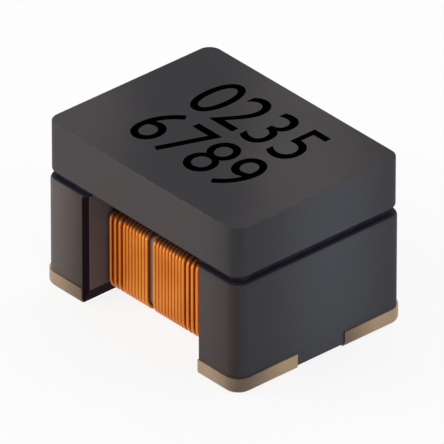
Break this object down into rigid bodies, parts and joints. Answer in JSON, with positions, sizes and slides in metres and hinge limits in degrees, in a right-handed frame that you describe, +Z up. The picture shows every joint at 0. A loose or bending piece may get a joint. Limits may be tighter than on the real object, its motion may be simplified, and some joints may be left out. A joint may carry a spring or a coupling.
{
  "type": "common mode choke",
  "caption": "Surface mount common mode choke: paired copper wires wound on a ferrite drum core under a glued ferrite lid, with plated corner terminals.",
  "frame": {"origin": "centre of the footprint, on the board plane under the terminals", "axes": "+X along the winding axis and the longest side, +Y across one end from front terminal to back terminal, +Z up from the board"},
  "size_m": [0.0046, 0.0034, 0.0029],
  "materials": {
    "ferrite": "smooth sintered ferrite",
    "adhesive": "dark epoxy",
    "enamelled_copper": "clear enamel over copper",
    "terminal_plating": "satin plating"
  },
  "bodies": {
    "root": {"drum_core": "ferrite", "plate_core": "ferrite", "adhesive_left": "adhesive", "adhesive_right": "adhesive", "winding_wire_front": "enamelled_copper", "winding_wire_back": "enamelled_copper", "terminal_left_front": "terminal_plating", "terminal_left_back": "terminal_plating", "terminal_right_front": "terminal_plating", "terminal_right_back": "terminal_plating"}
  },
  "joints": []
}
